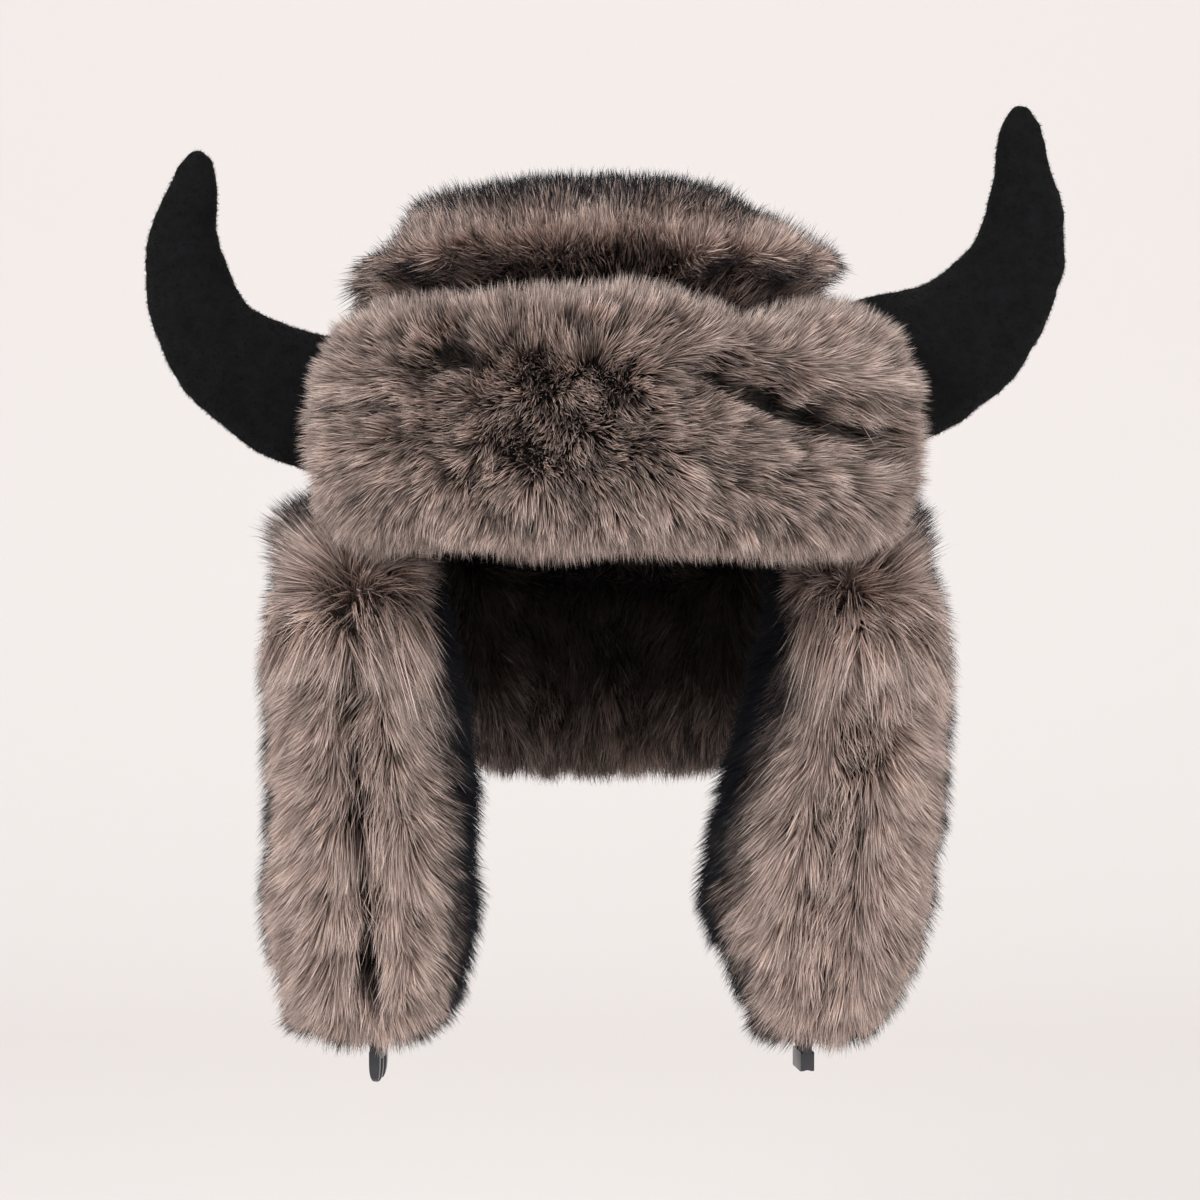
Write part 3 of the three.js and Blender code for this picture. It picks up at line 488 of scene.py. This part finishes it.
def grow_fur(
    node, count, comb, seed, lean, tips, light, stretch=None, keep=None, folds=(), spring=0.0, share=0.44
):
    """Covers a node with a ground and hairs whose ends lie on its form. Each of these gives a value for
    every place and its outward direction: comb the way the hair lies, tips how black its tip is, light
    how light it is, painted light and shade included, stretch how much longer it is, and keep where it
    grows."""
    form = form_of(node, FUR_PILE, share)
    lay_ground(f"{node}_ground", node, form)
    points, normals, corners = form["points"], form["normals"], form["corners"]
    free = form["free"] if keep is None else form["free"] * keep(points, normals)
    draw = np.random.default_rng(seed)
    chosen, weights = scatter(points, corners, free, count, draw)
    place = blend(weights, points[chosen])
    out = unit(blend(weights, normals[chosen]))
    deep = np.sum(weights * form["deep"][chosen], axis=1)

    # Guard hairs are longer and thinner than the wool under them. All lie as combed, a little unevenly.
    guard = draw.random(count) < GUARD_SHARE
    sunk, push = folds_at(place, out, folds)
    waver = np.stack([ripple(place, 24 * MM, seed + k) for k in (11, 12, 13)], axis=1) * 0.2
    lie = level(comb(place, out) + push + waver + draw.normal(size=(count, 3)) * 0.2, out)
    length = deep * np.where(guard, GUARD_LENGTH, WOOL_LENGTH)
    length *= 1 + UNEVEN * ripple(place, LOCK_SIZE, seed + 5)
    length *= 1 + UNEVEN * draw.normal(size=count)
    length = np.clip(length, 0.5 * deep, 1.3 * deep)
    extra = spring * (FUR_PILE - deep)
    if stretch is not None:
        extra += stretch(place, out)
    length += extra

    # A hair stands on its root, bends over the way it is combed, and clings to others in its clump.
    sink = np.minimum(0.45 * sunk, 0.5 * length)
    rise = (length - sink)[:, None]
    root = place - out * deep[:, None]
    tip = root + out * rise + lie * lean * length[:, None]
    bend = root + out * rise * BEND_UP + lie * lean * length[:, None] * BEND_OVER
    hold = 0.5 + 0.5 * draw.random(count)
    clumped = [(tip, CLUMP_PULL), (bend, CLUMP_PULL_LOW)]
    (tip, bend), mine = gather(clumped, place, CLUMP_SIZE, draw, hold)
    (tip,), _ = gather([(tip, LOCK_PULL)], place, LOCK_SIZE, draw, hold)
    sunk_end, _ = folds_at(tip, out, folds)
    tip -= out * np.minimum(0.3 * sunk_end, 0.4 * deep)[:, None]
    allowed = np.where(guard, GUARD_PAST, WOOL_PAST) * draw.uniform(0.3, 1.2, size=count) + extra
    tip, bend = held_in(tip, form, allowed), held_in(bend, form, allowed - BEND_UNDER)
    base = root + (bend - root) * 0.3

    # Its lightness and its black tip vary from hair to hair and from clump to clump.
    side = unit(np.cross(unit(tip - root), out * 0.6 + draw.normal(size=(count, 3)) * 0.6))
    wide = HAIR_WIDTH * np.where(guard, GUARD_THICK, WOOL_THICK)
    thick = (wide * (0.7 + 0.6 * draw.random(count)))[:, None] / 2
    shade = 0.5 + 0.15 * draw.normal(size=count) + 0.13 * ripple(place, 11 * MM, seed + 7)
    shade += 0.13 * draw.normal(size=count)[mine] + light(place, out)
    # Hairs sunk in folds and partings are darkened with painted shade.
    shade = np.clip(shade - FOLD_SHADE * ease(np.maximum(sunk, sunk_end), 2 * MM, 9 * MM), 0.03, 0.97)
    band = tips(place, out) + np.where(guard, 0.6, -0.5) + draw.random(count) - 0.2
    band = np.clip(np.floor(band), 0, TIP_BANDS - 1)
    mesh = strands(f"{node}_fur", base, bend, tip, thick, side, (band + shade) / TIP_BANDS)
    return add_piece(f"{node}_fur", mesh, fur_material, (node,), smooth=False)


def comb_crown(place, out):
    """The crown's hair stands on its top, is brushed up in front, sweeps back at the sides and falls
    behind, over the seams at the edge."""
    turn = math.pi * ease(place[:, 1], -85 * MM, 70 * MM)
    up = 0.8 * np.cos(turn) * (1 - ease(out[:, 2], 0.6, 0.95))
    at_rim = ease(-place[:, 2], 95 * MM, 112 * MM)[:, None]
    swept = unit(place * [1, 1, 0]) * 0.2 + np.stack([0 * up, 0.8 * np.sin(turn), up], axis=1)
    return swept * (1 - at_rim) + np.array([0, 0, -0.8]) * at_rim


def crown_outside(points, normals):
    """Hair only on the outside: the inner wall lies against the lining."""
    middle = np.array([0, 0, -60 * MM])
    return (np.sum(unit(points - middle) * normals, axis=1) > 0.1).astype(float)


def crown_stretch(place, out):
    """The hair pressed up by the front flap stands higher over its edge, and the rim's hangs over the
    seam. The left shoulder is brushed flatter above and is fuller below, the right one is flatter."""
    before = ease(-place[:, 1], 40 * MM, 80 * MM)
    at_rim = ease(-place[:, 2], 100 * MM, 114 * MM) * (1 - before)
    left, right = ease(-place[:, 0], 80 * MM, 104 * MM), ease(place[:, 0], 40 * MM, 75 * MM)
    high, low = ease(place[:, 2], -30 * MM, -12 * MM), 1 - ease(place[:, 2], -36 * MM, -20 * MM)
    extra = 9 * MM * before * (1 - ease(place[:, 2], -22 * MM, -2 * MM)) + 12 * MM * at_rim
    extra += left * (4 * MM * low - 9 * MM * high)
    extra -= 5 * MM * ease(place[:, 0], 85 * MM, 104 * MM) * high
    return extra - 9 * MM * right * ease(place[:, 2], -4 * MM, 12 * MM)


def crown_tips(place, out):
    """The top and the shoulders have the blackest tips. Over the front flap's edge, black tips paint the
    shadow there; the slope before is lighter.
    """
    top = 1.2 * ease(place[:, 2], 2 * MM, 22 * MM)
    shoulder = 0.9 * ease(np.abs(place[:, 0]), 75 * MM, 108 * MM)
    # Painted shadow above the front flap, drawn as black tips.
    shadowed_flap_edge = 1.4 * ease(-place[:, 1], 50 * MM, 80 * MM) * (1 - ease(place[:, 2], -24 * MM, -8 * MM))
    return 1.3 + np.maximum(np.maximum(top, shoulder), shadowed_flap_edge)


def crown_painted_light(place, out):
    """The crown's hairs are made lighter than the flaps': painted light against the deep shade seen in its
    standing pile.
    """
    return CROWN_PAINTED_LIGHT


grow_fur(
    "crown", CROWN_HAIRS, comb_crown, 21, lean=0.6, tips=crown_tips, light=crown_painted_light,
    stretch=crown_stretch, keep=crown_outside, spring=0.4, share=0.85,
)


# Front flap
# The flap is two layers of the same fur over a thin wadding, turned up against the crown's front. Its rim
# puffs out, its middle is pressed flat and dark, and one long crease and a dimple fold it.
# A fold's line is places across and up in mm, seen from the front. The pile is depth mm lower in it,
# over about width mm to each side, and is pushed aside by a share of its lean over spread mm.
# Hairs sunk in a fold are also darkened with painted shade.
FLAP_HAIRS = 94000
FLAP_FOLDS = [
    {"line": [(36, -58), (60, -68)], "depth": 6, "width": 1.9, "spread": 6, "push": 0.05},
    {"line": [(60, -68), (77, -75), (98, -81), (112, -85)],
     "depth": 11, "width": 1.9, "spread": 6, "push": 0.12},
    {"line": [(-62, -51), (-54, -53), (-49, -55)], "depth": 8, "width": 3.4, "spread": 10, "push": 0.06},
]


def flap_rim(place):
    """0 in the pressed middle of the front flap, 1 in its puffed rim."""
    up = (place[:, 2] + 85 * MM) / (46 * MM)
    around = np.arctan2(place[:, 0], -place[:, 1]) / math.radians(62)
    return ease(np.sqrt(np.abs(up) ** 2.6 + np.abs(around) ** 5), 0.45, 0.95)


def comb_front_flap(place, out):
    """Hair is combed outwards from the middle, flatter towards the rim."""
    across = (place[:, 0] + 40 * MM) / (110 * MM)
    up = (place[:, 2] + 72 * MM) / (40 * MM)
    back = ease(np.abs(place[:, 0]), 80 * MM, 125 * MM)
    away = np.stack([across, back, 0.35 * up + up**3], axis=1)
    return 0.95 * away / np.maximum(1, np.linalg.norm(away, axis=1))[:, None]


def flap_light(place, out):
    """The flap is a little darker than the ear flaps, most of all in its pressed middle."""
    return 0.02 * flap_rim(place) - 0.06


def flap_tips(place, out):
    """Black tips show a little where the rim turns away."""
    return 0.1 + 0.9 * (1 - np.abs(out[:, 1])) ** 2


grow_fur(
    "front_flap", FLAP_HAIRS, comb_front_flap, 22, lean=0.6, tips=flap_tips, light=flap_light,
    folds=FLAP_FOLDS,
)


# Ear flaps
# Each is a long pad of fur on both sides, sewn to the crown's lower edge. The hair falls to both sides
# of the seam down its front edge, where the pile parts and the dark roots show.
EAR_HAIRS = 95000
EAR_MIDDLE = {"left": -99 * MM, "right": 106 * MM}
# Hairs in a parting are darkened with painted shade as well.
EAR_FOLDS = {
    "left": [
        {"line": [(-105, -142), (-103, -160)], "depth": 7, "width": 2.6, "spread": 10, "push": 0.1},
        {"line": [(-103, -170), (-101, -240), (-98, -300)],
         "depth": 6, "width": 1.1, "spread": 6, "push": 0.15},
        {"line": [(-99, -296), (-97, -322)], "depth": 11, "width": 1.8, "spread": 7, "push": 0.25},
    ],
    "right": [
        {"line": [(107, -235), (106, -300)], "depth": 5, "width": 1.2, "spread": 6, "push": 0.15},
    ],
}


def comb_ear(middle):
    """Hair that falls away from the seam. On the right flap it parts only lower down. On the outer side
    it turns from upwards at the top through backwards to downwards."""
    def comb(place, out):
        offset = place[:, 0] - middle
        outer = ease(offset * np.sign(middle), 0, 25 * MM)
        low = ease(-place[:, 2], 150 * MM, 260 * MM)
        across = np.sign(offset) * ease(np.abs(offset), 0, 30 * MM) * (0.85 - 0.3 * low)
        if middle > 0:
            across = across * (0.45 + 0.55 * low) + 0.25 * (1 - low)
        turn = 0.8 * math.pi * outer * ease(place[:, 2], -172 * MM, -122 * MM)
        down = (0.6 + 0.2 * low) * np.cos(turn)
        down += 1.0 * ease(out[:, 2], 0.0, 0.4) * ease(np.abs(out[:, 1]), 0.2, 0.6)
        back = 0.3 * ease(np.abs(offset), 15 * MM, 45 * MM) + 0.7 * np.sin(turn)
        flat = 1 + 1.2 * ease(place[:, 2], -195 * MM, -150 * MM) * ease(np.abs(out[:, 1]), 0.2, 0.6)
        return np.stack([across, back, -down], axis=1) * flat[:, None]
    return comb


def ear_stretch(place, out):
    """The pile stands up past the crown's edge at the top of the flap, and hangs longer at its end."""
    not_before = 1 - ease(-out[:, 1], 0.15, 0.5)
    return 17 * MM * ease(out[:, 2], 0.65, 0.95) * not_before + 4 * MM * ease(-out[:, 2], 0.4, 0.9)


def inner_side_shaded(middle, out):
    """1 on the side of an ear flap that faces the other flap, which is darkened with painted shade."""
    return ease(-out[:, 0] * np.sign(middle), 0.6, 0.95)


def ear_tips(middle):
    """Black tips mark the sides, seen edge-on, and leave the front light. Inside, the extra black tips are
    painted shade.
    """
    def tips(place, out):
        edge_on = 1 - np.abs(out[:, 1])
        patchy = 0.5 * ripple(place, 30 * MM, 71)
        return 0.3 + (2.3 + patchy) * ease(edge_on, 0.5, 0.92) + 1.6 * inner_side_shaded(middle, out)
    return tips


def ear_tone_and_painted_shade(middle):
    """The inside of an ear flap is darkened with painted shade."""
    def light(place, out):
        return 0.07 - 0.5 * inner_side_shaded(middle, out)
    return light


for word, seed in (("left", 23), ("right", 24)):
    seam = EAR_MIDDLE[word]
    grow_fur(
        f"ear_flap_{word}", EAR_HAIRS, comb_ear(seam), seed, lean=0.7, tips=ear_tips(seam),
        light=ear_tone_and_painted_shade(seam), stretch=ear_stretch, folds=EAR_FOLDS[word],
    )


# Neck flap
# The flap behind is fur on both sides too. Its inside shows through the face opening, black with shade
# under the crown and dark brown lower down.
NECK_HAIRS = 54000


def comb_neck(place, out):
    """Hair falls straight down, and stands up at the top to close the seam."""
    on_top = ease(out[:, 2], 0.1, 0.5)[:, None]
    return np.array([0, 0, -0.8]) * (1 - on_top) + np.array([0, 0, 1.0]) * on_top


def neck_painted_shade(place, out):
    """The inside is darker than the outside, and darkest at the top: painted shade under the crown."""
    inside = ease(-out[:, 1], 0.0, 0.5)
    return 0.03 - inside * (0.26 + 0.6 * ease(place[:, 2], -212 * MM, -170 * MM))


def neck_stretch(place, out):
    """The pile stands up past the crown's edge at the top of the flap."""
    return 16 * MM * ease(out[:, 2], 0.2, 0.8)


def neck_tips(place, out):
    """Its tips are black on both sides."""
    return 1.0


grow_fur(
    "neck_flap", NECK_HAIRS, comb_neck, 25, lean=0.7, tips=neck_tips, light=neck_painted_shade,
    stretch=neck_stretch,
)


# Horns
# Each horn is black brushed fleece, cut in two halves, sewn along its outer and inner curves and stuffed
# hard with fibre. Its root is sewn through the fur to the crown's side.
HORN_BLACK = "060607"
HORN_GLOW = "151517"
FLEECE_TUFT = 0.9 * MM
FLEECE_NAP = 1.3 * MM
FLEECE_TUFTS = 16000
HORN_STEP = 2 * MM
HORN_SEAM_DEPTH = 0.9 * MM
HORN_SEAM_WIDTH = 1.5 * MM
PUCKER_STEP = 9 * MM
PUCKER_RISE = 0.22 * MM
PUCKER_REACH = 8 * MM
HORN_LUMPS = 34 * MM
HORN_LUMP_RISE = 0.5 * MM


def stuffed_horn(node):
    """A horn's form with its seam round the middle plane and the soft puckers beside it."""
    mesh = smooth_form(node, HORN_STEP, 4)
    points, normals, _ = arrays_of(mesh)
    middle = np.median(points[:, 1])
    away = np.abs(points[:, 1] - middle)
    seam = HORN_SEAM_DEPTH * np.exp(-((away / HORN_SEAM_WIDTH) ** 2))
    pucker = PUCKER_RISE * ripple(points, PUCKER_STEP, 61) * np.exp(-((away / PUCKER_REACH) ** 2))
    swell = HORN_LUMP_RISE * ripple(points, HORN_LUMPS, 62)
    points += normals * (swell + pucker - seam)[:, None]
    mesh.vertices.foreach_set("co", points.reshape(-1))
    mesh.update()
    return mesh


horn_material = short_plush("black_brushed_fleece", HORN_BLACK, HORN_GLOW, FLEECE_TUFT)
for word, seed in (("left", 31), ("right", 32)):
    horn_mesh = stuffed_horn(f"horn_{word}")
    horn = add_piece(f"horn_{word}_fleece", horn_mesh, horn_material, (f"horn_{word}",))
    all_over = np.ones(len(horn_mesh.vertices))
    nap = short_nap(f"horn_{word}_nap", horn_mesh, all_over, FLEECE_TUFTS, FLEECE_NAP, seed)
    add_piece(f"horn_{word}_nap", nap, horn_material, (f"horn_{word}",), smooth=False)


# Straps
# Each strap is black woven ribbon, 12 mm wide and 0.8 mm thick, folded round the buckle's bar and sewn
# into the flap's lower end. Its selvedges and cross ribs show close up.
RIBBON_RIB = 0.5 * MM
RIBBON_BLACK = "111112"
RIBBON_LIGHT = "2a2a2c"
RIBBON_EDGE = 0.25 * MM


def woven_ribbon(name, colour, glow, rib):
    """Polyester ribbon: fine cross ribs with a slight silky gloss, and fine specks of painted glint on its
    fibres.
    """
    material, tree = new_material(name)
    place = add_node(tree, "ShaderNodeTexCoord").outputs["Object"]
    ribs = add_node(
        tree, "ShaderNodeTexWave", {"bands_direction": "Z"},
        Vector=place, Scale=math.pi / (10 * rib), Distortion=0.4,
    )
    # Painted glints: fine fibre specks lighten the black towards the glow colour.
    glinting_fibres = add_node(tree, "ShaderNodeTexNoise", Vector=place, Scale=1 / (0.3 * MM), Detail=3.0)
    shade = add_node(
        tree, "ShaderNodeMix", {"data_type": "RGBA"},
        i0=glinting_fibres.outputs["Fac"], i6=linear(colour), i7=linear(glow),
    )
    bump = add_node(tree, "ShaderNodeBump", Height=ribs.outputs["Fac"], Distance=0.15 * MM)
    cloth = add_node(
        tree, "ShaderNodeBsdfPrincipled",
        Base_Color=shade.outputs[2], Normal=bump.outputs["Normal"], Roughness=0.65, IOR=1.5,
    )
    add_node(tree, "ShaderNodeOutputMaterial", Surface=cloth.outputs["BSDF"])
    return material


def rounded_copy(node, radius, steps):
    """A node's solid with its sharp edges rounded."""
    sharp = {"limit_method": "ANGLE", "angle_limit": math.radians(40)}
    mesh = reshaped(node, [
        ("WELD", {"merge_threshold": SAME_POINT}),
        ("BEVEL", {"width": radius, "segments": steps, **sharp}),
    ])
    mesh.shade_smooth()
    mesh.set_sharp_from_angle(angle=math.radians(35))
    return mesh


ribbon_material = woven_ribbon("woven_ribbon", RIBBON_BLACK, RIBBON_LIGHT, RIBBON_RIB)
for word in ("left", "right"):
    strap = rounded_copy(f"strap_{word}", RIBBON_EDGE, 2)
    add_piece(f"strap_{word}_ribbon", strap, ribbon_material, (f"strap_{word}",), smooth=False)


# Buckle halves
# The plug and the socket of one small side-release buckle, moulded in dark grey acetal with rounded
# edges. They hang unfastened, each by its bar in its strap.
ACETAL_GREY = "2b2b30"
EDGE_RADIUS = 0.35 * MM


def moulded_plastic(name, colour):
    """Injection-moulded acetal: dark, smooth, with a soft gloss and a faint mould texture."""
    material, tree = new_material(name)
    place = add_node(tree, "ShaderNodeTexCoord").outputs["Object"]
    grain = add_node(tree, "ShaderNodeTexNoise", Vector=place, Scale=1 / (0.5 * MM), Detail=3.0)
    rough = add_node(tree, "ShaderNodeMapRange", i0=grain.outputs["Fac"], i1=0.0, i2=1.0, i3=0.2, i4=0.42)
    bump = add_node(tree, "ShaderNodeBump", Height=grain.outputs["Fac"], Distance=0.03 * MM)
    plastic = add_node(
        tree, "ShaderNodeBsdfPrincipled",
        Base_Color=linear(colour), Roughness=rough.outputs[0], Normal=bump.outputs["Normal"], IOR=1.48,
    )
    add_node(tree, "ShaderNodeOutputMaterial", Surface=plastic.outputs["BSDF"])
    return material


buckle_material = moulded_plastic("moulded_acetal", ACETAL_GREY)
for node in ("buckle_plug", "buckle_socket"):
    half = rounded_copy(node, EDGE_RADIUS, 2)
    add_piece(f"{node}_moulding", half, buckle_material, (node,), smooth=False)


# Studio
# A plain pale floor and backdrop, large soft lights, and the camera where the photograph was taken from.
BACKDROP = "ebe6e4"
CAMERA_AWAY = 1.5
CAMERA_TILT = math.radians(2.5)
FRAME_WIDTH = 0.522
FRAME_MIDDLE = -154.7 * MM
FLOOR = -0.62
BEND_FROM = 1.6
BEND_RADIUS = 0.8
LIGHTS = [
    {"name": "key", "place": (-0.9, -1.6, 1.1), "aim": (0, 0, -0.12), "size": 1.0, "power": 26},
    {"name": "fill", "place": (1.3, -1.5, 0.5), "aim": (0, 0, -0.15), "size": 1.2, "power": 14},
]
WORLD_LIGHT = 0.9

backdrop_material, backdrop_tree = new_material("pale_paper")
paper = add_node(backdrop_tree, "ShaderNodeBsdfPrincipled", Base_Color=linear(BACKDROP), Roughness=0.9)
add_node(backdrop_tree, "ShaderNodeOutputMaterial", Surface=paper.outputs["BSDF"])

sweep = bpy.data.meshes.new("backdrop")
profile = [(-4.0, FLOOR), (BEND_FROM, FLOOR)]
for degrees in range(9, 91, 9):
    angle = math.radians(degrees)
    rise = BEND_RADIUS * (1 - math.cos(angle))
    profile.append((BEND_FROM + BEND_RADIUS * math.sin(angle), FLOOR + rise))
profile.append((BEND_FROM + BEND_RADIUS, 4.0))
verts = [(x, y, z) for y, z in profile for x in (-5.0, 5.0)]
faces = [(2 * i, 2 * i + 1, 2 * i + 3, 2 * i + 2) for i in range(len(profile) - 1)]
sweep.from_pydata(verts, [], faces)
backdrop = bpy.data.objects.new("backdrop", sweep)
sweep.materials.append(backdrop_material)
sweep.shade_smooth()
bpy.context.scene.collection.objects.link(backdrop)

world = bpy.data.worlds.new("studio")
world.use_nodes = True
world.node_tree.nodes["Background"].inputs["Color"].default_value = linear("ffffff")
world.node_tree.nodes["Background"].inputs["Strength"].default_value = WORLD_LIGHT
bpy.context.scene.world = world


def soft_light(name, place, aim, size, power):
    """A square soft box that faces its aim."""
    lamp = bpy.data.lights.new(name, "AREA")
    lamp.size = size
    lamp.energy = power
    holder = bpy.data.objects.new(name, lamp)
    holder.location = place
    holder.rotation_euler = (Vector(aim) - Vector(place)).to_track_quat("-Z", "Y").to_euler()
    bpy.context.scene.collection.objects.link(holder)


for light in LIGHTS:
    soft_light(**light)

lens = bpy.data.cameras.new("camera")
lens.sensor_width = 36
lens.lens = 36 * CAMERA_AWAY / FRAME_WIDTH
camera = bpy.data.objects.new("camera", lens)
aim = Vector((0, 0, FRAME_MIDDLE))
camera.location = aim + CAMERA_AWAY * Vector((0, -math.cos(CAMERA_TILT), math.sin(CAMERA_TILT)))
camera.rotation_euler = (aim - camera.location).to_track_quat("-Z", "Y").to_euler()
bpy.context.scene.collection.objects.link(camera)
bpy.context.scene.camera = camera
bpy.context.scene.view_settings.view_transform = "Standard"
